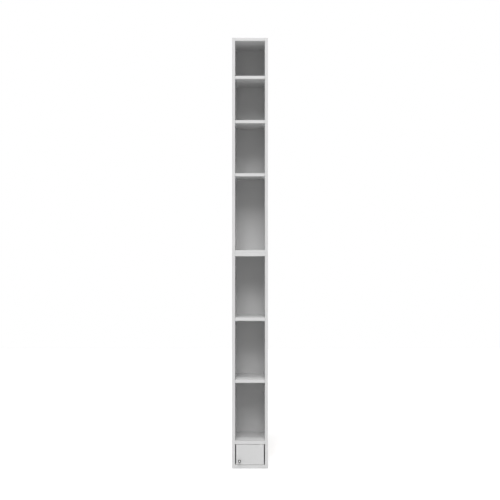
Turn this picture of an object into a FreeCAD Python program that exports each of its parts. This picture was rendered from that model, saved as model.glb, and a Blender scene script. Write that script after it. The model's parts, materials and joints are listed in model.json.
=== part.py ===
import FreeCAD, Part
import math
import os

# A slim bookcase of two equal carcasses that stand on each other, with a small
# cupboard at the foot. Millimetres. The origin is the middle of the base on the
# floor: +X is to the right of someone who faces the bookcase, +Y goes back and
# +Z goes up.

# Overall sizes
CASE_WIDTH = 150.0
CASE_DEPTH = 240.0
CARCASS_HEIGHT = 900.0
BOARD = 12.7
BOTTOM_BOARD = 15.0

# Bands on the front edges, on the top ends of the sides and on all four edges of the door
BAND = 1.0
BAND_ROUND = 0.7

# Housing joints: the ends of the fixed boards are let into the sides
HOUSING_DEPTH = 4.0
HOUSING_END_PLAY = 0.1

# Back panels, each held in a groove all round
BACK_THICKNESS = 3.0
BACK_INSET = 10.0
GROOVE_DEPTH = 5.0
GROOVE_PLAY = 0.1
BACK_END_PLAY = 0.5

# Loose shelves lie on pins. Rows of pins are counted down from the top of a
# carcass, and the height of a row is that of the underside of its shelf.
FIRST_ROW_DROP = 134.6
ROW_PITCH = 37.0
UPPER_SHELF_ROWS = (1, 6, 12)
LOWER_SHELF_ROWS = (4, 11)
SHELF_SIDE_PLAY = 0.5
SHELF_BACK_PLAY = 1.0
SHELF_PIN_SETBACK = 37.0
SHELF_PIN_DIAMETER = 5.0
SHELF_PIN_IN_SIDE = 8.0
SHELF_PIN_REACH = 8.0

# Fits of what is drilled for: play on the radius, and spare depth at the end
DRILL_PLAY = 0.05
DRILL_SPARE = 0.5

# Screws that join the two carcasses, put in from below, with a socket for a hexagon key
JOINING_SCREW_SETBACK = 62.0
JOINING_SCREW_DIAMETER = 5.0
JOINING_SCREW_LENGTH = 22.0
JOINING_SCREW_HEAD_DIAMETER = 12.0
JOINING_SCREW_HEAD = 2.2
JOINING_SCREW_KEY = 4.0
JOINING_SCREW_KEY_DEPTH = 1.6

# Cupboard and its inset door
CUPBOARD_HEIGHT = 87.0
DOOR_THICKNESS = 12.7
DOOR_SIDE_GAP = 4.5
DOOR_TOP_GAP = 1.6
DOOR_FOOT_GAP = 1.4

# Door pivot: pins in the boards above and below, flanged bushes in the door
PIVOT_INSET = 12.0
PIVOT_PIN_DIAMETER = 5.0
PIVOT_PIN_IN_BOARD = 9.0
PIVOT_PIN_IN_BUSH = 10.0
PIVOT_PLAY = 0.05
PIVOT_END_PLAY = 0.2
BUSH_WALL = 1.5
BUSH_LENGTH = 12.0
FLANGE_WALL = 1.6

# Door knob, turned, and the screw that holds it from behind
KNOB_SIDE_INSET = 13.9
KNOB_FOOT_INSET = 16.2
KNOB_DIAMETER = 12.0
KNOB_PROJECTION = 12.0
KNOB_NECK_DIAMETER = 7.0
KNOB_NECK = 6.0
KNOB_CHAMFER = 1.5
KNOB_SCREW_DIAMETER = 4.0
KNOB_SCREW_REACH = 7.0
KNOB_SCREW_HEAD_DIAMETER = 8.0
KNOB_SCREW_HEAD = 2.5
SLOT_WIDTH = 1.0
SLOT_DEPTH = 1.0

# Magnetic catch under the cupboard's roof, and its plate on the back of the door
CATCH_SIDE_SETBACK = 4.0
CATCH_LENGTH = 46.0
CATCH_BODY_LENGTH = 29.0
CATCH_DEPTH = 14.0
CATCH_HEIGHT = 13.0
CATCH_EAR = 3.0
CATCH_CORNER = 2.0
CATCH_GAP = 0.3
MAGNET_DROP = 7.8
MAGNET_LENGTH = 24.0
MAGNET_THICKNESS = 5.0
MAGNET_DEPTH = 9.0
POLE_THICKNESS = 1.2
POLE_PROUD = 0.8
POCKET_PLAY = 0.1
STRIKE_LENGTH = 38.0
STRIKE_HEIGHT = 9.6
STRIKE_THICKNESS = 1.2

# Places that follow from those sizes
TOTAL_HEIGHT = 2 * CARCASS_HEIGHT
SIDE_TOP = TOTAL_HEIGHT - BAND
FRONT = -CASE_DEPTH / 2
REAR = CASE_DEPTH / 2
OUTER = CASE_WIDTH / 2
INNER = OUTER - BOARD
HOUSING = INNER + HOUSING_DEPTH
BOARD_FRONT = FRONT + BAND
BACK_REAR = REAR - BACK_INSET
BACK_FRONT = BACK_REAR - BACK_THICKNESS
GROOVE_FRONT = BACK_FRONT - GROOVE_PLAY
GROOVE_REAR = BACK_REAR + GROOVE_PLAY
SHELF_PIN_COLUMNS = (FRONT + SHELF_PIN_SETBACK, BACK_FRONT - SHELF_PIN_SETBACK)
JOINING_SCREW_PLACES = (FRONT + JOINING_SCREW_SETBACK, BACK_FRONT - JOINING_SCREW_SETBACK)
JOINING_SCREW_SEAT = CARCASS_HEIGHT - BOARD
CUPBOARD_FLOOR = BOTTOM_BOARD
CUPBOARD_ROOF = CUPBOARD_FLOOR + CUPBOARD_HEIGHT
DOOR_LEFT = -INNER + DOOR_SIDE_GAP
DOOR_RIGHT = INNER - DOOR_SIDE_GAP
DOOR_FOOT = CUPBOARD_FLOOR + DOOR_FOOT_GAP
DOOR_TOP = CUPBOARD_ROOF - DOOR_TOP_GAP
DOOR_BACK = FRONT + DOOR_THICKNESS
PIVOT_X = DOOR_RIGHT - PIVOT_INSET
PIVOT_Y = FRONT + DOOR_THICKNESS / 2
BUSH_BORE = PIVOT_PIN_DIAMETER / 2 + PIVOT_PLAY
BUSH_RADIUS = BUSH_BORE + BUSH_WALL
FLANGE_RADIUS = BUSH_RADIUS + FLANGE_WALL
KNOB_X = DOOR_LEFT + KNOB_SIDE_INSET
KNOB_Z = DOOR_FOOT + KNOB_FOOT_INSET
CATCH_X = -INNER + CATCH_SIDE_SETBACK + CATCH_LENGTH / 2
CATCH_Z = CUPBOARD_ROOF - MAGNET_DROP
STRIKE_BACK = DOOR_BACK + STRIKE_THICKNESS
POLE_FRONT = STRIKE_BACK + CATCH_GAP
CATCH_FRONT = POLE_FRONT + POLE_PROUD

# Places that differ by less than this are the same place
SAME = 1e-6

HEXAGON = 6
SIDES = (("left", -1), ("right", 1))
X_AXIS = FreeCAD.Vector(1, 0, 0)
Y_AXIS = FreeCAD.Vector(0, 1, 0)
Z_AXIS = FreeCAD.Vector(0, 0, 1)


def point(x, y, z):
    return FreeCAD.Vector(x, y, z)


def save(node, *solids):
    """Write one node, as one solid or as a group of separate solids."""
    shape = solids[0] if len(solids) == 1 else Part.makeCompound(list(solids))
    shape.exportStep("parts/" + node + ".step")


def block(xs, ys, zs):
    """A square block between two places on each axis, given in either order."""
    low = point(min(xs), min(ys), min(zs))
    high = point(max(xs), max(ys), max(zs))
    size = high - low
    return Part.makeBox(size.x, size.y, size.z, low)


def around(middle, length):
    """The two ends of a length that is centred on a place."""
    return (middle - length / 2, middle + length / 2)


def rod(diameter, start, direction, length):
    return Part.makeCylinder(diameter / 2, length, start, direction)


def drill(diameter, start, direction, depth):
    """A hole for a round piece of that diameter that goes in to that depth."""
    return rod(diameter + 2 * DRILL_PLAY, start, direction, depth + DRILL_SPARE)


def prism(corners, sweep):
    """A flat outline through the corners, pulled along the sweep."""
    outline = Part.makePolygon(corners + corners[:1])
    return Part.Face(outline).extrude(sweep)


def turned(profile, start, direction):
    """A turned piece: corners (radius, distance along the axis from start), spun about it."""
    corners = [point(radius, 0, along) for radius, along in profile]
    outline = Part.makePolygon(corners + corners[:1])
    solid = Part.Face(outline).revolve(point(0, 0, 0), Z_AXIS, 360)
    solid.Placement = FreeCAD.Placement(start, FreeCAD.Rotation(Z_AXIS, direction))
    return solid


def edges_along(solid, direction, **place):
    """The straight edges that run along a direction and lie at the given x, y or z."""
    found = []
    for edge in solid.Edges:
        start = edge.Vertexes[0].Point
        run = edge.Vertexes[-1].Point - start
        if run.Length < SAME or run.cross(direction).Length > SAME:
            continue
        if all(abs(getattr(start, axis) - at) < SAME for axis, at in place.items()):
            found.append(edge)
    return found


def shelf_height(carcass_top, row):
    """Height of the underside of a shelf that lies on the pins of one row."""
    return carcass_top - FIRST_ROW_DROP - row * ROW_PITCH


def side_panel(side, foot, top, boards, shelves):
    """One side of a carcass: grooved for the back, housed for the boards, drilled for pins.

    side is -1 on the left and 1 on the right. Each board is its underside, its thickness and
    its rear, each shelf its underside.
    """
    inner = side * INNER
    outer = side * OUTER
    groove = side * (INNER + GROOVE_DEPTH)
    section = [
        (inner, BOARD_FRONT),
        (outer, BOARD_FRONT),
        (outer, REAR),
        (inner, REAR),
        (inner, GROOVE_REAR),
        (groove, GROOVE_REAR),
        (groove, GROOVE_FRONT),
        (inner, GROOVE_FRONT),
    ]
    panel = prism([point(x, y, foot) for x, y in section], Z_AXIS * (top - foot))
    cuts = []
    for underside, thickness, rear in boards:
        heights = (underside, underside + thickness)
        cuts.append(block((inner, side * HOUSING), (BOARD_FRONT, rear), heights))
    for y in SHELF_PIN_COLUMNS:
        for underside in shelves:
            start = point(inner, y, underside - SHELF_PIN_DIAMETER / 2)
            cuts.append(drill(SHELF_PIN_DIAMETER, start, X_AXIS * side, SHELF_PIN_IN_SIDE))
    return panel.cut(cuts)


def fixed_board(underside, thickness, rear, groove_side=0):
    """A board housed in both sides, with a groove above it (1), below it (-1) or none (0)."""
    end = HOUSING - HOUSING_END_PLAY
    top = underside + thickness
    board = block((-end, end), (BOARD_FRONT, rear), (underside, top))
    if groove_side:
        face = top if groove_side > 0 else underside
        depths = (face, face - groove_side * GROOVE_DEPTH)
        board = board.cut(block((-end, end), (GROOVE_FRONT, GROOVE_REAR), depths))
    return board


def loose_shelf(underside):
    end = INNER - SHELF_SIDE_PLAY
    return block((-end, end), (BOARD_FRONT, BACK_FRONT - SHELF_BACK_PLAY), (underside, underside + BOARD))


def back_panel(foot, board_below):
    """A thin panel that sits in the grooves of both sides and of the boards above and below."""
    reach = GROOVE_DEPTH - BACK_END_PLAY
    end = INNER + reach
    heights = (foot + board_below - reach, foot + CARCASS_HEIGHT - BOARD + reach)
    return block((-end, end), (BACK_FRONT, BACK_REAR), heights)


def side_band(side, foot):
    """The band on the front edge of a side panel."""
    strip = block((side * INNER, side * OUTER), (FRONT, BOARD_FRONT), (foot, foot + CARCASS_HEIGHT))
    return strip.makeFillet(BAND_ROUND, edges_along(strip, Z_AXIS, y=FRONT))


def end_band(side):
    """The band on the top end of an upper side, from the housing of the top board outwards."""
    return block((side * HOUSING, side * OUTER), (BOARD_FRONT, REAR), (SIDE_TOP, TOTAL_HEIGHT))


def board_band(underside, thickness, end):
    """The band on the front edge of a board or shelf that shows from -end to end."""
    strip = block((-end, end), (FRONT, BOARD_FRONT), (underside, underside + thickness))
    return strip.makeFillet(BAND_ROUND, edges_along(strip, X_AXIS, y=FRONT))


def shelf_pin(side, y, underside):
    """A plain pin, half in the side and half under the shelf that lies on it."""
    start = point(side * (INNER - SHELF_PIN_REACH), y, underside - SHELF_PIN_DIAMETER / 2)
    return rod(SHELF_PIN_DIAMETER, start, X_AXIS * side, SHELF_PIN_REACH + SHELF_PIN_IN_SIDE)


def joining_screw(y):
    """A flat-headed screw that runs up through the lower carcass's top into the upper carcass."""
    seat = point(0, y, JOINING_SCREW_SEAT)
    head = rod(JOINING_SCREW_HEAD_DIAMETER, seat, -Z_AXIS, JOINING_SCREW_HEAD)
    shank = rod(JOINING_SCREW_DIAMETER, seat, Z_AXIS, JOINING_SCREW_LENGTH)
    radius = JOINING_SCREW_KEY / math.sqrt(3)
    corners = []
    for turn in range(HEXAGON):
        angle = 2 * math.pi * turn / HEXAGON
        corners.append(seat + point(radius * math.cos(angle), radius * math.sin(angle), -JOINING_SCREW_HEAD))
    socket = prism(corners, Z_AXIS * JOINING_SCREW_KEY_DEPTH)
    return head.fuse(shank).cut(socket)


def joining_holes():
    """Holes for the joining screws, through one board and blind in the board above it."""
    holes = []
    for y in JOINING_SCREW_PLACES:
        seat = point(0, y, JOINING_SCREW_SEAT)
        holes.append(drill(JOINING_SCREW_DIAMETER, seat, Z_AXIS, JOINING_SCREW_LENGTH))
    return holes


def pivot_pin(board_face, upward, gap):
    """A pin driven into a board, which stands out across the gap into a bush in the door."""
    start = point(PIVOT_X, PIVOT_Y, board_face - upward * PIVOT_PIN_IN_BOARD)
    return rod(PIVOT_PIN_DIAMETER, start, Z_AXIS * upward, PIVOT_PIN_IN_BOARD + gap + PIVOT_PIN_IN_BUSH)


def pivot_hole(board_face, upward):
    start = point(PIVOT_X, PIVOT_Y, board_face)
    return drill(PIVOT_PIN_DIAMETER, start, Z_AXIS * -upward, PIVOT_PIN_IN_BOARD)


def pivot_bush(door_edge, inward, gap):
    """A bush let into an edge of the door, with a flange that keeps the edge off the board."""
    flange = PIVOT_END_PLAY - gap
    profile = [
        (BUSH_BORE, flange),
        (FLANGE_RADIUS, flange),
        (FLANGE_RADIUS, 0),
        (BUSH_RADIUS, 0),
        (BUSH_RADIUS, BUSH_LENGTH),
        (BUSH_BORE, BUSH_LENGTH),
    ]
    return turned(profile, point(PIVOT_X, PIVOT_Y, door_edge), Z_AXIS * inward)


def bush_holes():
    places = ((DOOR_FOOT, Z_AXIS), (DOOR_TOP, -Z_AXIS))
    return [drill(2 * BUSH_RADIUS, point(PIVOT_X, PIVOT_Y, edge), way, BUSH_LENGTH) for edge, way in places]


def door_panel():
    """The core of the door inside its bands, drilled for its bushes and its knob."""
    widths = (DOOR_LEFT + BAND, DOOR_RIGHT - BAND)
    heights = (DOOR_FOOT + BAND, DOOR_TOP - BAND)
    core = block(widths, (FRONT, DOOR_BACK), heights)
    knob_hole = drill(KNOB_SCREW_DIAMETER, point(KNOB_X, FRONT, KNOB_Z), Y_AXIS, DOOR_THICKNESS)
    return core.cut(bush_holes() + [knob_hole])


def door_bands():
    """Bands on the door's four edges: the upright ones run its full height."""
    bands = []
    for edge, inside in ((DOOR_LEFT, DOOR_LEFT + BAND), (DOOR_RIGHT, DOOR_RIGHT - BAND)):
        strip = block((edge, inside), (FRONT, DOOR_BACK), (DOOR_FOOT, DOOR_TOP))
        bands.append(strip.makeFillet(BAND_ROUND, edges_along(strip, Z_AXIS, x=edge, y=FRONT)))
    for edge, inside in ((DOOR_FOOT, DOOR_FOOT + BAND), (DOOR_TOP, DOOR_TOP - BAND)):
        strip = block((DOOR_LEFT + BAND, DOOR_RIGHT - BAND), (FRONT, DOOR_BACK), (edge, inside))
        strip = strip.makeFillet(BAND_ROUND, edges_along(strip, X_AXIS, y=FRONT, z=edge))
        bands.append(strip.cut(bush_holes()))
    return bands


def door_knob():
    """A turned knob: a round neck, and a wider head with a chamfered face."""
    neck = KNOB_NECK_DIAMETER / 2
    head = KNOB_DIAMETER / 2
    profile = [
        (0, 0),
        (neck, 0),
        (neck, KNOB_NECK),
        (head, KNOB_NECK),
        (head, KNOB_PROJECTION - KNOB_CHAMFER),
        (head - KNOB_CHAMFER, KNOB_PROJECTION),
        (0, KNOB_PROJECTION),
    ]
    foot = point(KNOB_X, FRONT, KNOB_Z)
    solid = turned(profile, foot, -Y_AXIS)
    return solid.cut(drill(KNOB_SCREW_DIAMETER, foot, -Y_AXIS, KNOB_SCREW_REACH))


def knob_screw():
    """A slotted screw, put in from behind the door."""
    seat = point(KNOB_X, DOOR_BACK, KNOB_Z)
    head = rod(KNOB_SCREW_HEAD_DIAMETER, seat, Y_AXIS, KNOB_SCREW_HEAD)
    shank = rod(KNOB_SCREW_DIAMETER, seat, -Y_AXIS, DOOR_THICKNESS + KNOB_SCREW_REACH)
    top = DOOR_BACK + KNOB_SCREW_HEAD
    widths = around(KNOB_X, KNOB_SCREW_HEAD_DIAMETER)
    slot = block(widths, (top - SLOT_DEPTH, top), around(KNOB_Z, SLOT_WIDTH))
    return head.fuse(shank).cut(slot)


def catch_housing():
    """A T-shaped housing: ears against the cupboard's roof, and a body with the magnet's pocket."""
    body = CATCH_BODY_LENGTH / 2
    ear = CATCH_LENGTH / 2
    ear_foot = CUPBOARD_ROOF - CATCH_EAR
    body_foot = CUPBOARD_ROOF - CATCH_HEIGHT
    outline = [
        (-ear, CUPBOARD_ROOF),
        (ear, CUPBOARD_ROOF),
        (ear, ear_foot),
        (body, ear_foot),
        (body, body_foot),
        (-body, body_foot),
        (-body, ear_foot),
        (-ear, ear_foot),
    ]
    corners = [point(CATCH_X + x, CATCH_FRONT, z) for x, z in outline]
    housing = prism(corners, Y_AXIS * CATCH_DEPTH)
    rounded = edges_along(housing, Z_AXIS, x=CATCH_X - ear) + edges_along(housing, Z_AXIS, x=CATCH_X + ear)
    housing = housing.makeFillet(CATCH_CORNER, rounded)
    pocket_height = MAGNET_THICKNESS + 2 * POLE_THICKNESS + 2 * POCKET_PLAY
    pocket = block(
        around(CATCH_X, MAGNET_LENGTH + 2 * POCKET_PLAY),
        (CATCH_FRONT, CATCH_FRONT + MAGNET_DEPTH),
        around(CATCH_Z, pocket_height),
    )
    return housing.cut(pocket)


def catch_magnet():
    depths = (CATCH_FRONT, CATCH_FRONT + MAGNET_DEPTH)
    return block(around(CATCH_X, MAGNET_LENGTH), depths, around(CATCH_Z, MAGNET_THICKNESS))


def pole_plate(side):
    """A steel plate on the magnet's upper (1) or lower (-1) face, proud of the housing."""
    near = CATCH_Z + side * MAGNET_THICKNESS / 2
    depths = (POLE_FRONT, CATCH_FRONT + MAGNET_DEPTH)
    return block(around(CATCH_X, MAGNET_LENGTH), depths, (near, near + side * POLE_THICKNESS))


def strike_plate():
    """A flat plate with rounded corners on the back of the door, opposite the poles."""
    plate = block(around(CATCH_X, STRIKE_LENGTH), (DOOR_BACK, STRIKE_BACK), around(CATCH_Z, STRIKE_HEIGHT))
    return plate.makeFillet(CATCH_CORNER, edges_along(plate, Y_AXIS))


def build():
    os.makedirs("parts", exist_ok=True)
    top_board = TOTAL_HEIGHT - BOARD
    lower_top_board = CARCASS_HEIGHT - BOARD
    upper_shelves = [shelf_height(TOTAL_HEIGHT, row) for row in UPPER_SHELF_ROWS]
    lower_shelves = [shelf_height(CARCASS_HEIGHT, row) for row in LOWER_SHELF_ROWS]

    # Each fixed board is given by its underside, its thickness and how far back it goes
    upper_boards = ((top_board, BOARD, REAR), (CARCASS_HEIGHT, BOARD, REAR))
    lower_boards = (
        (lower_top_board, BOARD, REAR),
        (CUPBOARD_ROOF, BOARD, BACK_FRONT),
        (0, BOTTOM_BOARD, REAR),
    )
    for name, side in SIDES:
        upper_side = side_panel(side, CARCASS_HEIGHT, SIDE_TOP, upper_boards, upper_shelves)
        lower_side = side_panel(side, 0, CARCASS_HEIGHT, lower_boards, lower_shelves)
        save("upper_" + name + "_side", upper_side)
        save("lower_" + name + "_side", lower_side)

    cupboard_roof = fixed_board(CUPBOARD_ROOF, BOARD, BACK_FRONT)
    save("top_board", fixed_board(top_board, BOARD, REAR, -1))
    save("upper_bottom_board", fixed_board(CARCASS_HEIGHT, BOARD, REAR, 1).cut(joining_holes()))
    save("lower_top_board", fixed_board(lower_top_board, BOARD, REAR, -1).cut(joining_holes()))
    save("cupboard_roof_board", cupboard_roof.cut(pivot_hole(CUPBOARD_ROOF, -1)))
    save("bottom_board", fixed_board(0, BOTTOM_BOARD, REAR, 1).cut(pivot_hole(CUPBOARD_FLOOR, 1)))
    for number, underside in enumerate(upper_shelves, 1):
        save("upper_shelf_" + str(number), loose_shelf(underside))
    for number, underside in enumerate(lower_shelves, 1):
        save("lower_shelf_" + str(number), loose_shelf(underside))
    save("upper_back_panel", back_panel(CARCASS_HEIGHT, BOARD))
    save("lower_back_panel", back_panel(0, BOTTOM_BOARD))

    boards = upper_boards + lower_boards
    fixed_bands = [board_band(underside, thickness, INNER) for underside, thickness, rear in boards]
    shelves = upper_shelves + lower_shelves
    shelf_bands = [board_band(underside, BOARD, INNER - SHELF_SIDE_PLAY) for underside in shelves]
    side_bands = [side_band(side, foot) for name, side in SIDES for foot in (0, CARCASS_HEIGHT)]
    end_bands = [end_band(side) for name, side in SIDES]
    save("side_edge_bands", *side_bands, *end_bands)
    save("board_edge_bands", *fixed_bands)
    save("shelf_edge_bands", *shelf_bands)
    pin_places = [(side, y) for name, side in SIDES for y in SHELF_PIN_COLUMNS]
    save("shelf_pins", *[shelf_pin(side, y, underside) for side, y in pin_places for underside in shelves])
    save("joining_screws", *[joining_screw(y) for y in JOINING_SCREW_PLACES])

    save("door_panel", door_panel())
    save("door_edge_bands", *door_bands())
    save("door_knob", door_knob())
    save("knob_screw", knob_screw())
    lower_pin = pivot_pin(CUPBOARD_FLOOR, 1, DOOR_FOOT_GAP)
    upper_pin = pivot_pin(CUPBOARD_ROOF, -1, DOOR_TOP_GAP)
    save("pivot_pins", lower_pin, upper_pin)
    save("pivot_bushes", pivot_bush(DOOR_FOOT, 1, DOOR_FOOT_GAP), pivot_bush(DOOR_TOP, -1, DOOR_TOP_GAP))
    save("catch_housing", catch_housing())
    save("catch_magnet", catch_magnet())
    save("catch_pole_plates", pole_plate(1), pole_plate(-1))
    save("strike_plate", strike_plate())


build()
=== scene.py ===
import json
import math

import bmesh
import bpy
from mathutils import Matrix, Vector


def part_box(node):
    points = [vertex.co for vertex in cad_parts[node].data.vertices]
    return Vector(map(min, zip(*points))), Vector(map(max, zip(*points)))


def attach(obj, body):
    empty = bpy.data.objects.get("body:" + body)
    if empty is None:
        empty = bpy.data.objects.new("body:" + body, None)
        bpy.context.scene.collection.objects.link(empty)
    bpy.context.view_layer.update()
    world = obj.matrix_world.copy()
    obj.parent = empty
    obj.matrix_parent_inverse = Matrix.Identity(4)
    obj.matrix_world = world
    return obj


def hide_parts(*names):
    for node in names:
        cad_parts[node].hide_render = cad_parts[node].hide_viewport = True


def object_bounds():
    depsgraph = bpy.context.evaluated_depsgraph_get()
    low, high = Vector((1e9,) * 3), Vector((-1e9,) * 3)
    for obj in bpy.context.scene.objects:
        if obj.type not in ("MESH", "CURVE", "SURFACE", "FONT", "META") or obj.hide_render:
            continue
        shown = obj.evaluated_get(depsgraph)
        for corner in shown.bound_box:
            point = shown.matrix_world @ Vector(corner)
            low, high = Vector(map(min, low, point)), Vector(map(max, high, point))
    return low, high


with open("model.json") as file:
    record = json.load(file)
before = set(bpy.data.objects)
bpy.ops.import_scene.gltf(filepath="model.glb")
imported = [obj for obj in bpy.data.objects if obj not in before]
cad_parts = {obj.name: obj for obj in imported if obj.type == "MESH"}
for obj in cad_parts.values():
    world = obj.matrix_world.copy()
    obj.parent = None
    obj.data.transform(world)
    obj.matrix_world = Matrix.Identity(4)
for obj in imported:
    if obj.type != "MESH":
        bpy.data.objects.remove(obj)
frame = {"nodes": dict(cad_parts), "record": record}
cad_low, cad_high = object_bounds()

# A slim white bookcase of two stacked carcasses, with a small cupboard at its foot.
# The frame is in metres. The sizes here are in millimetres, apart from the studio's, which are in metres.
MM = 0.001

# Camera: level, straight in front, with the whole height in a square picture
CAMERA_DISTANCE = 4260.0
CAMERA_HEIGHT = 913.5
VIEW_WIDTH = 2088.8
SENSOR_WIDTH = 36.0

# Studio: a surround, a large key lamp high in front, a lamp overhead for the fronts of the shelves, and two
# fills behind that light the sides and the back
WORLD_LEVEL = 0.35
KEY_PLACE = Vector((-0.5, -9.0, 8.8))
KEY_SIZE = 6.5
KEY_POWER = 715.0
TOP_PLACE = Vector((-0.3, -4.0, 11.5))
TOP_SIZE = 3.0
TOP_POWER = 355.0
FILL_PLACES = (Vector((-5.5, 4.2, 1.8)), Vector((5.5, 4.2, 1.8)))
FILL_SIZE = 3.4
FILL_POWER = 220.0
LAMP_TARGET = Vector((0.0, 0.0, 0.9))

# Studio floor: white to the eye, with a little glow of its own, and greyer in the light it throws back
FLOOR_SIDE = 10.0
FLOOR_GLOW = 0.16
FLOOR_BOUNCE = "D2D2D2"

# Nodes of the boards, the sides from left to right
UPPER_SIDES = ("upper_left_side", "upper_right_side")
LOWER_SIDES = ("lower_left_side", "lower_right_side")
FIXED_BOARDS = ("top_board", "upper_bottom_board", "lower_top_board", "cupboard_roof_board", "bottom_board")
UPPER_SHELVES = ("upper_shelf_1", "upper_shelf_2", "upper_shelf_3")
LOWER_SHELVES = ("lower_shelf_1", "lower_shelf_2")

# Rows of drilled holes for the pins that the shelves lie on
HOLE_DIAMETER = 5.1
HOLE_DEPTH = 8.5
HOLE_STEPS = 24
HOLE_SETBACK = 37.0
ROW_PITCH = 37.0
ROW_MARGIN = 60.0
PIN_RADIUS = 2.5

# Door knob: a foot, a waist tapered at both ends, and a round head with a button let into its face
# The head's rim is painted near black as a dark reflection, and the button is painted bright as a highlight
KNOB_STEPS = 40
KNOB_SMOOTHING = 2
KNOB_FOOT_RADIUS = 4.0
KNOB_FOOT = 0.9
KNOB_WAIST_RADIUS = 2.8
KNOB_TAPER = 0.9
KNOB_HEAD = 5.8
KNOB_ROUND = 1.3
KNOB_FACE_SINK = 0.5
KNOB_GROOVE = 0.7
KNOB_GROOVE_WIDTH = 0.5
KNOB_BUTTON_RADIUS = 3.2
KNOB_BUTTON_SLOPE = 0.6

# The knob's screw: a tapered tip, a shank, and a low round head with a slot right across it
KNOB_SCREW_STEPS = 32
KNOB_SCREW_RADIUS = 2.0
KNOB_SCREW_TIP = 0.6
KNOB_SCREW_HEAD = 2.5
KNOB_SCREW_ROUND = 0.8
KNOB_SCREW_SLOT_WIDTH = 1.0
KNOB_SCREW_SLOT_DEPTH = 1.0

# Small screws of the catch and of its plate: domed heads with a cross recess. The sizes of the dome and of
# the recess are shares of the head's radius and crown. The recess is turned as each screw was driven home.
SCREW_STEPS = 24
SCREW_DOME_RADIUS = 0.7
SCREW_DOME_HEIGHT = 0.85
SCREW_RECESS_LENGTH = 1.25
SCREW_RECESS_WIDTH = 0.28
SCREW_RECESS_DEPTH = 0.5
SCREW_TURNS = {"left": math.radians(21), "right": math.radians(68)}
CATCH_EAR = 3.0
CATCH_SCREW_SETBACK = 4.25
CATCH_SCREW_RADIUS = 2.9
CATCH_SCREW_RIM = 0.5
CATCH_SCREW_CROWN = 1.7
PLATE_SCREW_SETBACK = 3.0
PLATE_SCREW_RADIUS = 2.1
PLATE_SCREW_RIM = 0.2
PLATE_SCREW_CROWN = 0.7

# Gap between the top board and the bands on the ends of the sides, and how far a board's own band is trimmed
# inside its faces, so that the bands of two boards that lie on each other stay apart
END_BAND_PLAY = 0.1
BAND_TRIM = 0.02

# Easing of edges. The white film reaches over the eased edge of a board. The edges of a band that are over
# LONG_EDGE in length run along it, and are rounder.
BOARD_EASE = 0.4
FILM_WRAP = 0.45
BAND_EASE = 0.2
BAND_ROUND = 0.7
LONG_EDGE = 50.0
FITTING_EASE = 0.5
PLATE_EASE = 0.3
POLE_EASE = 0.2
EASE_STEPS = 3

# Edges of bands and fittings that turn more than SHARP are eased. Edges that turn less than SMOOTH are
# shaded smooth, and triangles that turn less than FLAT from each other are one face.
SHARP = math.radians(40)
SMOOTH = math.radians(35)
FLAT = math.radians(0.5)

# Points nearer than this are one point, and points nearer than this to a plane lie on it
SAME_POINT = 0.001
SAME_PLANE = 0.01

# At scale 1 a wave texture turns by 20 radians in each unit of length, and at this scale it turns once
WAVE_TURN = 20
ONE_WAVE = 2 * math.pi / WAVE_TURN

# Sockets of a Mix node for colours, which go by number because their names repeat
FACTOR, FROM, TO = 0, 6, 7
MIXED = 2

X, Y, Z = range(3)
UP = Vector((0, 0, 1))
DOWN = Vector((0, 0, -1))
FORWARD = Vector((0, -1, 0))
BACKWARD = Vector((0, 1, 0))


# Materials

def colour(hex_value):
    """An sRGB hex colour as linear red, green, blue and alpha. The numbers are the sRGB standard's."""
    channels = [int(hex_value[start:start + 2], 16) / 255 for start in (0, 2, 4)]
    linear = [c / 12.92 if c <= 0.04045 else ((c + 0.055) / 1.055) ** 2.4 for c in channels]
    return (*linear, 1.0)


def per_metre(size):
    """The texture scale that gives features of a size in millimetres."""
    return 1 / (size * MM)


def add(tree, kind, inputs=None, **settings):
    """Add a node with its settings and inputs.

    An input is a value, or the socket it is linked from. It goes by name, or by number where names repeat.
    """
    node = tree.nodes.new(kind)
    for name, value in settings.items():
        setattr(node, name, value)
    for key, value in (inputs or {}).items():
        if isinstance(value, bpy.types.NodeSocket):
            tree.links.new(value, node.inputs[key])
        else:
            node.inputs[key].default_value = value
    return node


def new_material(name):
    """An empty material and its node tree."""
    material = bpy.data.materials.new(name)
    material.use_nodes = True
    material.node_tree.nodes.clear()
    return material, material.node_tree


def melamine_film():
    """White paper in melamine resin, pressed on the boards: satin, faintly clouded and finely pearled."""
    # The real pearl is about 1 mm across and 0.03 mm high. It is drawn coarser and higher, to show.
    cloud_size = 110
    pearl_size = 3.0
    pearl_height = 0.22
    material, tree = new_material("melamine_film")
    at = add(tree, "ShaderNodeTexCoord").outputs["Object"]
    cloud = add(tree, "ShaderNodeTexNoise", {
        "Vector": at, "Scale": per_metre(cloud_size), "Detail": 3.0}).outputs["Fac"]
    pearl = add(tree, "ShaderNodeTexNoise", {
        "Vector": at, "Scale": per_metre(pearl_size), "Detail": 2.0}).outputs["Fac"]
    white = add(tree, "ShaderNodeMix", {
        FACTOR: cloud, FROM: colour("D5D5D5"), TO: colour("DDDDDD")}, data_type="RGBA").outputs[MIXED]
    satin = add(tree, "ShaderNodeMapRange", {
        "Value": cloud, "To Min": 0.50, "To Max": 0.62}).outputs["Result"]
    bump = add(tree, "ShaderNodeBump", {"Height": pearl, "Distance": pearl_height * MM}).outputs["Normal"]
    shader = add(tree, "ShaderNodeBsdfPrincipled", {
        "Base Color": white, "Roughness": satin, "Normal": bump, "IOR": 1.5})
    add(tree, "ShaderNodeOutputMaterial", {"Surface": shader.outputs["BSDF"]})
    return material


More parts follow.
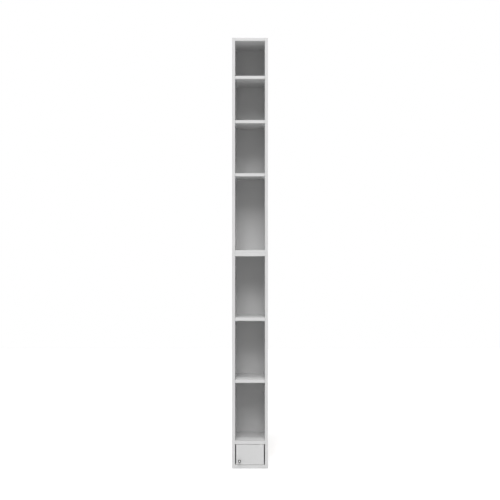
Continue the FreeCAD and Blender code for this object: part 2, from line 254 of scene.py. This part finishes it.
def bare_chipboard(name, across):
    """The sawn edge of a board: flat chips of tan wood in layers, with dark pores between them.

    The chips lie in the board's plane, so they are thin along the axis across its thickness.
    """
    # Real chips are about 0.5 mm thick. They are drawn a little coarser, to show.
    chip_length = 4.0
    chip_thickness = 0.8
    pore_size = 1.6
    pore_depth = 0.15
    material, tree = new_material(name)
    squeeze = [1.0, 1.0, 1.0]
    squeeze[across] = chip_length / chip_thickness
    at = add(tree, "ShaderNodeTexCoord").outputs["Object"]
    layered = add(tree, "ShaderNodeMapping", {"Vector": at, "Scale": squeeze}).outputs["Vector"]
    chips = add(tree, "ShaderNodeTexVoronoi", {"Vector": layered, "Scale": per_metre(chip_length)})
    pores = add(tree, "ShaderNodeTexNoise", {
        "Vector": layered, "Scale": per_metre(pore_size), "Detail": 3.0}).outputs["Fac"]
    wood = add(tree, "ShaderNodeMix", {
        FACTOR: chips.outputs["Color"], FROM: colour("A4855C"), TO: colour("D2B98F")},
        data_type="RGBA").outputs[MIXED]
    open_pore = add(tree, "ShaderNodeMapRange", {
        "Value": pores, "From Min": 0.58, "From Max": 0.72}).outputs["Result"]
    face = add(tree, "ShaderNodeMix", {
        FACTOR: open_pore, FROM: wood, TO: colour("6B5235")}, data_type="RGBA").outputs[MIXED]
    rough = add(tree, "ShaderNodeMapRange", {
        "Value": chips.outputs["Distance"], "To Min": 0.8, "To Max": 0.95}).outputs["Result"]
    bump = add(tree, "ShaderNodeBump", {
        "Height": pores, "Distance": pore_depth * MM}, invert=True).outputs["Normal"]
    shader = add(tree, "ShaderNodeBsdfPrincipled", {
        "Base Color": face, "Roughness": rough, "Normal": bump, "IOR": 1.5})
    add(tree, "ShaderNodeOutputMaterial", {"Surface": shader.outputs["BSDF"]})
    return material


def abs_edge_band():
    """Extruded ABS strip, glued on and trimmed: a little smoother than the board, with faint drag marks."""
    # Real drag marks are about 0.01 mm high. They are drawn higher, to show.
    cloud_size = 70
    drag_size = 2.5
    drag_height = 0.08
    material, tree = new_material("abs_edge_band")
    at = add(tree, "ShaderNodeTexCoord").outputs["Object"]
    cloud = add(tree, "ShaderNodeTexNoise", {
        "Vector": at, "Scale": per_metre(cloud_size), "Detail": 2.0}).outputs["Fac"]
    drag = add(tree, "ShaderNodeTexNoise", {
        "Vector": at, "Scale": per_metre(drag_size), "Detail": 2.0}).outputs["Fac"]
    white = add(tree, "ShaderNodeMix", {
        FACTOR: cloud, FROM: colour("D6D6D6"), TO: colour("DEDEDE")}, data_type="RGBA").outputs[MIXED]
    satin = add(tree, "ShaderNodeMapRange", {
        "Value": cloud, "To Min": 0.42, "To Max": 0.52}).outputs["Result"]
    bump = add(tree, "ShaderNodeBump", {"Height": drag, "Distance": drag_height * MM}).outputs["Normal"]
    shader = add(tree, "ShaderNodeBsdfPrincipled", {
        "Base Color": white, "Roughness": satin, "Normal": bump, "IOR": 1.53})
    add(tree, "ShaderNodeOutputMaterial", {"Surface": shader.outputs["BSDF"]})
    return material


def lacquered_hardboard():
    """Pressed wood fibre: smooth white lacquer in front, bare brown behind with the print of a screen."""
    # Real fibre clots are about 1 mm across, and a screen's wires 1.7 mm apart. Both are drawn coarser,
    # to show.
    fibre_size = 4
    blotch_size = 60
    screen_pitch = 3.0
    screen_depth = 0.12
    cloud_size = 120
    low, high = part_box("upper_back_panel")
    middle = (low.y + high.y) / 2
    material, tree = new_material("lacquered_hardboard")
    at = add(tree, "ShaderNodeTexCoord").outputs["Object"]
    rearward = add(tree, "ShaderNodeSeparateXYZ", {"Vector": at}).outputs["Y"]
    bare = add(tree, "ShaderNodeMath", {0: rearward, 1: middle}, operation="GREATER_THAN").outputs["Value"]

    fibre = add(tree, "ShaderNodeTexNoise", {
        "Vector": at, "Scale": per_metre(fibre_size), "Detail": 6.0, "Roughness": 0.7}).outputs["Fac"]
    blotch = add(tree, "ShaderNodeTexNoise", {
        "Vector": at, "Scale": per_metre(blotch_size), "Detail": 2.0}).outputs["Fac"]
    cloud = add(tree, "ShaderNodeTexNoise", {
        "Vector": at, "Scale": per_metre(cloud_size), "Detail": 2.0}).outputs["Fac"]
    upright, level = [add(tree, "ShaderNodeTexWave", {
        "Vector": at, "Scale": per_metre(screen_pitch) * ONE_WAVE},
        bands_direction=direction).outputs["Fac"] for direction in ("X", "Z")]
    screen = add(tree, "ShaderNodeMath", {0: upright, 1: level}, operation="MULTIPLY").outputs["Value"]
    printed = add(tree, "ShaderNodeMath", {0: screen, 1: bare}, operation="MULTIPLY").outputs["Value"]

    white = add(tree, "ShaderNodeMix", {
        FACTOR: cloud, FROM: colour("D4D4D4"), TO: colour("DBDBDB")}, data_type="RGBA").outputs[MIXED]
    dull = add(tree, "ShaderNodeMix", {
        FACTOR: blotch, FROM: colour("63452B"), TO: colour("74553A")}, data_type="RGBA").outputs[MIXED]
    brown = add(tree, "ShaderNodeMix", {
        FACTOR: fibre, FROM: dull, TO: colour("B4906A")}, data_type="RGBA").outputs[MIXED]
    face = add(tree, "ShaderNodeMix", {
        FACTOR: bare, FROM: white, TO: brown}, data_type="RGBA").outputs[MIXED]
    rough = add(tree, "ShaderNodeMapRange", {"Value": bare, "To Min": 0.5, "To Max": 0.85}).outputs["Result"]
    bump = add(tree, "ShaderNodeBump", {"Height": printed, "Distance": screen_depth * MM}).outputs["Normal"]
    shader = add(tree, "ShaderNodeBsdfPrincipled", {
        "Base Color": face, "Roughness": rough, "Normal": bump, "IOR": 1.5})
    add(tree, "ShaderNodeOutputMaterial", {"Surface": shader.outputs["BSDF"]})
    return material


def zinc_plated_steel():
    """Drawn steel with bright zinc on it: silvery and slightly uneven."""
    mottle_size = 2.0
    material, tree = new_material("zinc_plated_steel")
    at = add(tree, "ShaderNodeTexCoord").outputs["Object"]
    mottle = add(tree, "ShaderNodeTexNoise", {
        "Vector": at, "Scale": per_metre(mottle_size), "Detail": 3.0}).outputs["Fac"]
    metal = add(tree, "ShaderNodeMix", {
        FACTOR: mottle, FROM: colour("AEB2B6"), TO: colour("CDD1D4")}, data_type="RGBA").outputs[MIXED]
    rough = add(tree, "ShaderNodeMapRange", {
        "Value": mottle, "To Min": 0.22, "To Max": 0.38}).outputs["Result"]
    shader = add(tree, "ShaderNodeBsdfPrincipled", {
        "Base Color": metal, "Roughness": rough, "Metallic": 1.0})
    add(tree, "ShaderNodeOutputMaterial", {"Surface": shader.outputs["BSDF"]})
    return material


def turned_metal(name, dark, light, smoothest, roughest):
    """Metal turned on a lathe: fine rings round the knob's axis in colour, gloss and relief."""
    # Real turning marks are about 0.1 mm apart. They are drawn coarser, to show.
    ring_pitch = 0.5
    ring_height = 0.01
    low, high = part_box("door_knob")
    middle = (low + high) / 2
    material, tree = new_material(name)
    at = add(tree, "ShaderNodeTexCoord").outputs["Object"]
    centred = add(tree, "ShaderNodeMapping", {
        "Vector": at, "Location": (-middle.x, 0, -middle.z)}).outputs["Vector"]
    rings = add(tree, "ShaderNodeTexWave", {
        "Vector": centred, "Scale": per_metre(ring_pitch) * ONE_WAVE, "Distortion": 0.6, "Detail": 2.0},
        wave_type="RINGS", rings_direction="Y").outputs["Fac"]
    metal = add(tree, "ShaderNodeMix", {
        FACTOR: rings, FROM: colour(dark), TO: colour(light)}, data_type="RGBA").outputs[MIXED]
    rough = add(tree, "ShaderNodeMapRange", {
        "Value": rings, "To Min": smoothest, "To Max": roughest}).outputs["Result"]
    bump = add(tree, "ShaderNodeBump", {"Height": rings, "Distance": ring_height * MM}).outputs["Normal"]
    shader = add(tree, "ShaderNodeBsdfPrincipled", {
        "Base Color": metal, "Roughness": rough, "Normal": bump, "Metallic": 1.0})
    add(tree, "ShaderNodeOutputMaterial", {"Surface": shader.outputs["BSDF"]})
    return material


def moulded_nylon():
    """Injection-moulded nylon: milky white with a dull, slightly grained skin."""
    # The real grain is about 0.3 mm across. It is drawn coarser, to show.
    grain_size = 1.2
    grain_height = 0.03
    material, tree = new_material("moulded_nylon")
    at = add(tree, "ShaderNodeTexCoord").outputs["Object"]
    grain = add(tree, "ShaderNodeTexNoise", {
        "Vector": at, "Scale": per_metre(grain_size), "Detail": 3.0}).outputs["Fac"]
    milk = add(tree, "ShaderNodeMix", {
        FACTOR: grain, FROM: colour("D2CFC6"), TO: colour("DFDCD4")}, data_type="RGBA").outputs[MIXED]
    rough = add(tree, "ShaderNodeMapRange", {
        "Value": grain, "To Min": 0.45, "To Max": 0.6}).outputs["Result"]
    bump = add(tree, "ShaderNodeBump", {"Height": grain, "Distance": grain_height * MM}).outputs["Normal"]
    shader = add(tree, "ShaderNodeBsdfPrincipled", {
        "Base Color": milk, "Roughness": rough, "Normal": bump, "IOR": 1.53})
    add(tree, "ShaderNodeOutputMaterial", {"Surface": shader.outputs["BSDF"]})
    return material


def sintered_ferrite():
    """Pressed and fired iron oxide: charcoal grey, dull, with a fine speckle."""
    # The real speckle is about 0.1 mm across. It is drawn coarser, to show.
    speckle_size = 0.6
    speckle_height = 0.03
    material, tree = new_material("sintered_ferrite")
    at = add(tree, "ShaderNodeTexCoord").outputs["Object"]
    speckle = add(tree, "ShaderNodeTexNoise", {
        "Vector": at, "Scale": per_metre(speckle_size), "Detail": 4.0}).outputs["Fac"]
    charcoal = add(tree, "ShaderNodeMix", {
        FACTOR: speckle, FROM: colour("26262A"), TO: colour("46464B")}, data_type="RGBA").outputs[MIXED]
    rough = add(tree, "ShaderNodeMapRange", {
        "Value": speckle, "To Min": 0.6, "To Max": 0.8}).outputs["Result"]
    bump = add(tree, "ShaderNodeBump", {
        "Height": speckle, "Distance": speckle_height * MM}).outputs["Normal"]
    shader = add(tree, "ShaderNodeBsdfPrincipled", {
        "Base Color": charcoal, "Roughness": rough, "Normal": bump})
    add(tree, "ShaderNodeOutputMaterial", {"Surface": shader.outputs["BSDF"]})
    return material


FILM = melamine_film()
# The chips of a cut edge, by the axis across the board: X in the upright sides, Z in the level boards
CHIPS = {X: bare_chipboard("bare_chipboard_upright", X), Z: bare_chipboard("bare_chipboard_level", Z)}
BAND = abs_edge_band()
HARDBOARD = lacquered_hardboard()
ZINC = zinc_plated_steel()
# Knob: rim painted near black as a dark reflection, with a soft gleam; button painted bright as a highlight,
# almost a mirror
STEEL_PAINTED_DARK_REFLECTION = turned_metal("turned_steel_painted_dark_reflection", "2A2A2B", "3A3A3B", 0.24, 0.36)
NICKEL_PAINTED_HIGHLIGHT = turned_metal("turned_nickel_painted_highlight", "D0D0CF", "E4E4E3", 0.14, 0.24)
NYLON = moulded_nylon()
FERRITE = sintered_ferrite()

FINISHES = {
    "white_board": FILM,
    "white_back": HARDBOARD,
    "white_band": BAND,
    "zinc_steel": ZINC,
    "knob_metal": NICKEL_PAINTED_HIGHLIGHT,
    "white_nylon": NYLON,
    "ferrite": FERRITE,
}


def dress(nodes, record):
    """Give every node of the frame the finish of its slot."""
    for subpart in record["subparts"]:
        materials = nodes[subpart["node"]].data.materials
        materials.clear()
        materials.append(FINISHES[subpart["material_slot"]])


# Ways of making and shaping a piece

def put_in_scene(name, data):
    """A new object in the scene, of a mesh, lamp or camera."""
    made = bpy.data.objects.new(name, data)
    bpy.context.scene.collection.objects.link(made)
    return made


def object_of(name, mesh, *materials):
    """A bmesh as an object in the scene."""
    data = bpy.data.meshes.new(name)
    mesh.to_mesh(data)
    mesh.free()
    for material in materials:
        data.materials.append(material)
    return put_in_scene(name, data)


def piece(name, mesh, body, slot, *materials):
    """Make an object of a bmesh and let it ride on a body of the frame."""
    made = object_of(name, mesh, *materials)
    # A copy of a node brings that node's normals along, which don't fit its new faces
    old_normals = made.data.attributes.get("custom_normal")
    if old_normals:
        made.data.attributes.remove(old_normals)
    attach(made, body)
    return made


def shade(made):
    """Smooth shading that keeps sharp edges sharp and the flat faces beside a rounding flat."""
    made.data.shade_smooth()
    made.data.set_sharp_from_angle(angle=SMOOTH)
    weighted = made.modifiers.new("flat_faces", "WEIGHTED_NORMAL")
    weighted.keep_sharp = True


def copy_of(node):
    """A merged copy of a node's mesh."""
    mesh = bmesh.new()
    mesh.from_mesh(frame["nodes"][node].data)
    bmesh.ops.remove_doubles(mesh, verts=mesh.verts, dist=SAME_POINT * MM)
    return mesh


def join_flats(mesh):
    """Put the triangles of each flat face in one piece."""
    bmesh.ops.dissolve_limit(mesh, angle_limit=FLAT, verts=mesh.verts, edges=mesh.edges)


def split_faces(mesh):
    """Split every face into well-shaped triangles."""
    bmesh.ops.triangulate(mesh, faces=mesh.faces, quad_method="BEAUTY", ngon_method="BEAUTY")
    bmesh.ops.dissolve_degenerate(mesh, edges=mesh.edges, dist=SAME_POINT * MM)


def sharp_edges(mesh):
    """The edges where two faces meet at a sharp angle."""
    return [edge for edge in mesh.edges if edge.is_manifold and edge.calc_face_angle() > SHARP]


def box_edges(mesh, low, high, glued):
    """The edges that run along the edges of the mesh's box, apart from those round a glued face."""
    planes = {"left": (X, low), "right": (X, high), "front": (Y, low), "rear": (Y, high),
              "foot": (Z, low), "top": (Z, high)}
    found = []
    for edge in mesh.edges:
        lies_on = []
        for name, (axis, corner) in planes.items():
            if all(abs(vert.co[axis] - corner[axis]) < SAME_PLANE * MM for vert in edge.verts):
                lies_on.append(name)
        if len(lies_on) > 1 and not set(lies_on) & set(glued):
            found.append(edge)
    return found


def round_off(mesh, edges, width):
    """Round off some edges, over a width in millimetres."""
    bmesh.ops.bevel(mesh, geom=edges, offset=width * MM, offset_type="OFFSET", segments=EASE_STEPS,
                    profile=0.5, affect="EDGES", clamp_overlap=True, material=-1)


def cut(mesh, cutter):
    """What is left of a bmesh when the shape of another is taken out of it."""
    body = object_of("uncut", mesh)
    tool = object_of("cutter", cutter)
    modifier = body.modifiers.new("cut", "BOOLEAN")
    modifier.object = tool
    modifier.solver = "EXACT"
    left = bmesh.new()
    left.from_object(body, bpy.context.evaluated_depsgraph_get())
    bpy.data.objects.remove(body)
    bpy.data.objects.remove(tool)
    return left


def block(mesh, low, high):
    """Add a square block between two corners."""
    low, high = Vector(low), Vector(high)
    size = Matrix.Diagonal((*(high - low), 1))
    bmesh.ops.create_cube(mesh, size=1, matrix=Matrix.Translation((low + high) / 2) @ size)


def lathe(profile, steps):
    """A closed turned shape about +Z: a profile of (radius, distance along the axis), spun round."""
    mesh = bmesh.new()
    points = [mesh.verts.new((radius * MM, 0, along * MM)) for radius, along in profile]
    lines = [mesh.edges.new(pair) for pair in zip(points, points[1:])]
    bmesh.ops.spin(mesh, geom=points + lines, cent=(0, 0, 0), axis=UP, angle=2 * math.pi, steps=steps,
                   use_merge=True)
    bmesh.ops.remove_doubles(mesh, verts=mesh.verts, dist=SAME_POINT * MM)
    bmesh.ops.recalc_face_normals(mesh, faces=mesh.faces)
    return mesh


def turned_along(axis, place):
    """The placement that stands a shape made along +Z on a place, along an axis."""
    return Matrix.Translation(place) @ UP.rotation_difference(axis).to_matrix().to_4x4()


# Boards and their bands

def board(node, across, glued, drills=None):
    """A board with eased edges, white film on its two faces, and bare chips wherever it was cut.

    across is the axis of its thickness. Its glued faces have a band on them and keep their sharp edges.
    """
    low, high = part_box(node)
    mesh = copy_of(node)
    if drills:
        mesh = cut(mesh, drills)
    join_flats(mesh)
    round_off(mesh, box_edges(mesh, low, high, glued), BOARD_EASE)
    materials = (FILM, CHIPS[across])
    for face in mesh.faces:
        place = face.calc_center_median()[across]
        depth = min(place - low[across], high[across] - place)
        finish = FILM if depth < FILM_WRAP * MM else CHIPS[across]
        face.material_index = materials.index(finish)
    split_faces(mesh)
    made = piece(node + "_eased", mesh, "case", "white_board", *materials)
    shade(made)
    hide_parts(node)


def spare_rows(shelves, floor, ceiling):
    """Heights of the rows of holes that hold no pin, on the pitch of the shelves."""
    undersides = [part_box(shelf)[0].z for shelf in shelves]
    pitch = ROW_PITCH * MM
    lowest = floor + ROW_MARGIN * MM
    first = undersides[0] - math.floor((undersides[0] - lowest) / pitch) * pitch
    count = math.floor((ceiling - ROW_MARGIN * MM - first) / pitch) + 1
    rows = [first + number * pitch for number in range(count)]
    return [row for row in rows if all(abs(row - underside) > pitch / 2 for underside in undersides)]


def row_drills(inner, rows):
    """Drills for the spare rows of a side, in line with the rows that are in use.

    A drill lies along X with its middle on the inner face, so half of its length is in the side.
    """
    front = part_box("side_edge_bands")[0].y + HOLE_SETBACK * MM
    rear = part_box("upper_back_panel")[0].y - HOLE_SETBACK * MM
    radius = HOLE_DIAMETER / 2 * MM
    turn = Matrix.Rotation(math.pi / 2, 4, "Y")
    drills = bmesh.new()
    for y in (front, rear):
        for row in rows:
            place = Matrix.Translation((inner, y, row - PIN_RADIUS * MM))
            bmesh.ops.create_cone(drills, cap_ends=True, segments=HOLE_STEPS, radius1=radius, radius2=radius,
                                  depth=2 * HOLE_DEPTH * MM, matrix=place @ turn)
    return drills


def boards():
    """The sides, drilled, and the boards and shelves between them."""
    upper_rows = spare_rows(UPPER_SHELVES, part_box("upper_bottom_board")[1].z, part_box("top_board")[0].z)
    lower_rows = spare_rows(LOWER_SHELVES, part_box("cupboard_roof_board")[1].z,
                            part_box("lower_top_board")[0].z)
    inner_faces = (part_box(UPPER_SIDES[0])[1].x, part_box(UPPER_SIDES[1])[0].x)
    for upper, lower, inner in zip(UPPER_SIDES, LOWER_SIDES, inner_faces):
        board(upper, X, ("front", "top"), row_drills(inner, upper_rows))
        board(lower, X, ("front",), row_drills(inner, lower_rows))
    for node in FIXED_BOARDS + UPPER_SHELVES + LOWER_SHELVES:
        board(node, Z, ("front",))


def banded(node, mesh):
    """Round the long front edges of a node's bands, ease their other edges, and put them in its place."""
    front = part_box(node)[0].y
    long_edges = []
    for edge in mesh.edges:
        on_front = all(vert.co.y < front + SAME_PLANE * MM for vert in edge.verts)
        if on_front and edge.calc_length() > LONG_EDGE * MM:
            long_edges.append(edge)
    round_off(mesh, long_edges, BAND_ROUND)
    round_off(mesh, sharp_edges(mesh), BAND_EASE)
    made = piece(node + "_eased", mesh, "case", "white_band", BAND)
    shade(made)
    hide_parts(node)


def side_bands():
    """Bands on the front edges of the sides, and on the top ends of the upper sides beside the top board."""
    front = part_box("side_edge_bands")[0].y
    mesh = bmesh.new()
    for node in UPPER_SIDES + LOWER_SIDES:
        low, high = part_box(node)
        top = cad_high.z if node in UPPER_SIDES else high.z
        block(mesh, (low.x, front, low.z), (high.x, low.y, top))
    board_low, board_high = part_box("top_board")
    low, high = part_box(UPPER_SIDES[0])
    block(mesh, (low.x, low.y, high.z), (board_low.x - END_BAND_PLAY * MM, high.y, cad_high.z))
    low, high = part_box(UPPER_SIDES[1])
    block(mesh, (board_high.x + END_BAND_PLAY * MM, low.y, high.z), (high.x, high.y, cad_high.z))
    banded("side_edge_bands", mesh)


def board_bands(node, carriers):
    """Bands on the front edges of the boards that carry them, as far as they show between the sides."""
    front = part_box(node)[0].y
    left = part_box(UPPER_SIDES[0])[1].x
    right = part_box(UPPER_SIDES[1])[0].x
    trim = BAND_TRIM * MM
    mesh = bmesh.new()
    for carrier in carriers:
        low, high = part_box(carrier)
        block(mesh, (max(low.x, left), front, low.z + trim), (min(high.x, right), low.y, high.z - trim))
    banded(node, mesh)


# Fittings

def eased(node, body, slot, width):
    """A node with all its sharp edges rounded off."""
    mesh = copy_of(node)
    join_flats(mesh)
    round_off(mesh, sharp_edges(mesh), width)
    made = piece(node + "_eased", mesh, body, slot, FINISHES[slot])
    shade(made)
    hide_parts(node)


def knob():
    """A turned knob: a foot, a waist, and a round head with a button, painted bright as a highlight, in a
    groove of its face.
    """
    low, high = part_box("door_knob")
    radius = (high.x - low.x) / 2 / MM
    front = (high.y - low.y) / MM
    head_back = front - KNOB_HEAD
    rim = front - KNOB_FACE_SINK
    groove_foot = rim - KNOB_GROOVE
    button = KNOB_BUTTON_RADIUS
    groove = button + KNOB_GROOVE_WIDTH
    profile = [
        (0, 0),
        (KNOB_FOOT_RADIUS, 0),
        (KNOB_FOOT_RADIUS, KNOB_FOOT),
        (KNOB_WAIST_RADIUS, KNOB_FOOT + KNOB_TAPER),
        (KNOB_WAIST_RADIUS, head_back - KNOB_TAPER),
        (radius - KNOB_ROUND, head_back),
        (radius, head_back + KNOB_ROUND),
        (radius, rim - KNOB_ROUND),
        (radius - KNOB_ROUND, rim),
        (groove, rim),
        (groove, groove_foot),
        (button, groove_foot),
        (button, rim),
        (button - KNOB_BUTTON_SLOPE, front),
        (0, front),
    ]
    mesh = lathe(profile, KNOB_STEPS)
    # The rim's colour is a painted dark reflection, and the button's colour is a painted highlight
    materials = (STEEL_PAINTED_DARK_REFLECTION, NICKEL_PAINTED_HIGHLIGHT)
    for face in mesh.faces:
        centre = face.calc_center_median()
        in_button = centre.z > groove_foot * MM and centre.xy.length <= button * MM
        face.material_index = materials.index(NICKEL_PAINTED_HIGHLIGHT if in_button else STEEL_PAINTED_DARK_REFLECTION)
    middle = (low + high) / 2
    mesh.transform(turned_along(FORWARD, Vector((middle.x, high.y, middle.z))))
    made = piece("door_knob_turned", mesh, "door", "knob_metal", *materials)
    made.data.shade_smooth()
    rounding = made.modifiers.new("rounding", "SUBSURF")
    rounding.levels = KNOB_SMOOTHING
    rounding.render_levels = KNOB_SMOOTHING
    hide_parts("door_knob")


def knob_screw():
    """The slotted screw that holds the knob from behind, with a rounded rim on its head."""
    low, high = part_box("knob_screw")
    radius = (high.x - low.x) / 2 / MM
    length = (high.y - low.y) / MM
    seat = length - KNOB_SCREW_HEAD
    profile = [
        (0, 0),
        (KNOB_SCREW_RADIUS - KNOB_SCREW_TIP, 0),
        (KNOB_SCREW_RADIUS, KNOB_SCREW_TIP),
        (KNOB_SCREW_RADIUS, seat),
        (radius, seat),
    ]
    for step in range(EASE_STEPS + 1):
        turn = math.pi / 2 * step / EASE_STEPS
        out = radius - KNOB_SCREW_ROUND * (1 - math.cos(turn))
        profile.append((out, length - KNOB_SCREW_ROUND * (1 - math.sin(turn))))
    profile.append((0, length))
    # The slot's cutter has its middle on the end face and reaches past the rim
    reach = Vector((radius + KNOB_SCREW_SLOT_WIDTH, KNOB_SCREW_SLOT_WIDTH / 2, KNOB_SCREW_SLOT_DEPTH)) * MM
    end = Vector((0, 0, length)) * MM
    slot = bmesh.new()
    block(slot, end - reach, end + reach)
    mesh = cut(lathe(profile, KNOB_SCREW_STEPS), slot)
    middle = (low + high) / 2
    mesh.transform(turned_along(BACKWARD, Vector((middle.x, low.y, middle.z))))
    made = piece("knob_screw_turned", mesh, "door", "zinc_steel", ZINC)
    shade(made)
    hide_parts("knob_screw")


def cross(width, length, depth):
    """A cutter with four arms, which reaches to a depth below the origin and as far above it."""
    reach = Vector((width / 2, width / 2, depth))
    mesh = bmesh.new()
    block(mesh, -reach, reach)
    sides = [face for face in mesh.faces if round(face.normal.z) == 0]
    for face in bmesh.ops.extrude_discrete_faces(mesh, faces=sides)["faces"]:
        face.normal_update()
        bmesh.ops.translate(mesh, vec=face.normal * (length - width) / 2, verts=face.verts)
    bmesh.ops.recalc_face_normals(mesh, faces=mesh.faces)
    return mesh


def small_screw(name, body, place, axis, turn, radius, rim, crown):
    """The head of a small screw, domed, with a cross recess at the turn where it was driven home."""
    dome = (radius * SCREW_DOME_RADIUS, crown * SCREW_DOME_HEIGHT)
    head = lathe([(0, 0), (radius, 0), (radius, rim), dome, (0, crown)], SCREW_STEPS)
    recess = cross(radius * SCREW_RECESS_WIDTH * MM, radius * SCREW_RECESS_LENGTH * MM,
                   crown * SCREW_RECESS_DEPTH * MM)
    recess.transform(Matrix.Translation((0, 0, crown * MM)) @ Matrix.Rotation(turn, 4, "Z"))
    mesh = cut(head, recess)
    split_faces(mesh)
    mesh.transform(turned_along(axis, place))
    shade(piece(name, mesh, body, "zinc_steel", ZINC))


def screws():
    """Two screws through the ears of the catch and two through its plate on the door."""
    low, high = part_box("catch_housing")
    middle = (low + high) / 2
    setback = CATCH_SCREW_SETBACK * MM
    for end, x in (("left", low.x + setback), ("right", high.x - setback)):
        place = Vector((x, middle.y, high.z - CATCH_EAR * MM))
        small_screw("catch_screw_" + end, "case", place, DOWN, SCREW_TURNS[end], CATCH_SCREW_RADIUS,
                    CATCH_SCREW_RIM, CATCH_SCREW_CROWN)
    low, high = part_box("strike_plate")
    middle = (low + high) / 2
    setback = PLATE_SCREW_SETBACK * MM
    for end, x in (("left", low.x + setback), ("right", high.x - setback)):
        place = Vector((x, high.y, middle.z))
        small_screw("strike_screw_" + end, "door", place, BACKWARD, SCREW_TURNS[end], PLATE_SCREW_RADIUS,
                    PLATE_SCREW_RIM, PLATE_SCREW_CROWN)


# Camera and studio

def camera():
    """A level camera straight in front of the case, with a lens for the width of its view."""
    data = bpy.data.cameras.new("camera")
    data.sensor_width = SENSOR_WIDTH
    data.lens = SENSOR_WIDTH * CAMERA_DISTANCE / VIEW_WIDTH
    made = put_in_scene("camera", data)
    case_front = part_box("side_edge_bands")[0].y
    made.location = (0, case_front - CAMERA_DISTANCE * MM, CAMERA_HEIGHT * MM)
    made.rotation_euler = (math.pi / 2, 0, 0)
    bpy.context.scene.camera = made


def seen_by_camera(tree):
    """A socket that is 1 for what the camera sees, directly, mirrored or through glass, and 0 otherwise."""
    path = add(tree, "ShaderNodeLightPath").outputs
    mirrored = add(tree, "ShaderNodeMath", {
        0: path["Is Glossy Ray"], 1: path["Is Transmission Ray"]}, operation="MAXIMUM").outputs["Value"]
    return add(tree, "ShaderNodeMath", {
        0: path["Is Camera Ray"], 1: mirrored}, operation="MAXIMUM").outputs["Value"]


def surround():
    """A world that lights softly from all sides and looks white."""
    world = bpy.data.worlds.new("surround")
    world.use_nodes = True
    tree = world.node_tree
    tree.nodes.clear()
    light = add(tree, "ShaderNodeBackground", {"Color": colour("FFFFFF"), "Strength": WORLD_LEVEL})
    white = add(tree, "ShaderNodeBackground", {"Color": colour("FFFFFF"), "Strength": 1.0})
    mix = add(tree, "ShaderNodeMixShader", {
        "Fac": seen_by_camera(tree), 1: light.outputs["Background"], 2: white.outputs["Background"]})
    add(tree, "ShaderNodeOutputWorld", {"Surface": mix.outputs["Shader"]})
    bpy.context.scene.world = world


def lamp(name, place, size, power):
    """A round soft lamp that points at the bookcase."""
    data = bpy.data.lights.new(name, "AREA")
    data.shape = "DISK"
    data.size = size
    data.energy = power
    made = put_in_scene(name, data)
    made.location = place
    made.rotation_euler = (LAMP_TARGET - place).to_track_quat("-Z", "Y").to_euler()


def studio_floor():
    """A matt floor that looks white where the light falls on it, and keeps the shadow."""
    material, tree = new_material("white_floor")
    seen = seen_by_camera(tree)
    pale = add(tree, "ShaderNodeMix", {
        FACTOR: seen, FROM: colour(FLOOR_BOUNCE), TO: colour("FFFFFF")}, data_type="RGBA").outputs[MIXED]
    matt = add(tree, "ShaderNodeBsdfDiffuse", {"Color": pale}).outputs["BSDF"]
    strength = add(tree, "ShaderNodeMath", {0: seen, 1: FLOOR_GLOW}, operation="MULTIPLY").outputs["Value"]
    glow = add(tree, "ShaderNodeEmission", {
        "Color": colour("FFFFFF"), "Strength": strength}).outputs["Emission"]
    both = add(tree, "ShaderNodeAddShader", {0: matt, 1: glow})
    add(tree, "ShaderNodeOutputMaterial", {"Surface": both.outputs["Shader"]})
    mesh = bmesh.new()
    bmesh.ops.create_grid(mesh, x_segments=1, y_segments=1, size=FLOOR_SIDE / 2)
    object_of("floor", mesh, material)


def studio():
    """The surround, the lamps and the floor."""
    surround()
    lamp("key_lamp", KEY_PLACE, KEY_SIZE, KEY_POWER)
    lamp("top_lamp", TOP_PLACE, TOP_SIZE, TOP_POWER)
    for number, place in enumerate(FILL_PLACES, 1):
        lamp("fill_lamp_" + str(number), place, FILL_SIZE, FILL_POWER)
    studio_floor()
    bpy.context.scene.view_settings.view_transform = "Standard"


camera()
studio()
dress(frame["nodes"], frame["record"])
boards()
side_bands()
board_bands("board_edge_bands", FIXED_BOARDS)
board_bands("shelf_edge_bands", UPPER_SHELVES + LOWER_SHELVES)
eased("shelf_pins", "case", "zinc_steel", FITTING_EASE)
eased("joining_screws", "case", "zinc_steel", FITTING_EASE)
eased("catch_housing", "case", "white_nylon", FITTING_EASE)
eased("catch_pole_plates", "case", "zinc_steel", POLE_EASE)
eased("strike_plate", "door", "zinc_steel", PLATE_EASE)
knob()
knob_screw()
screws()
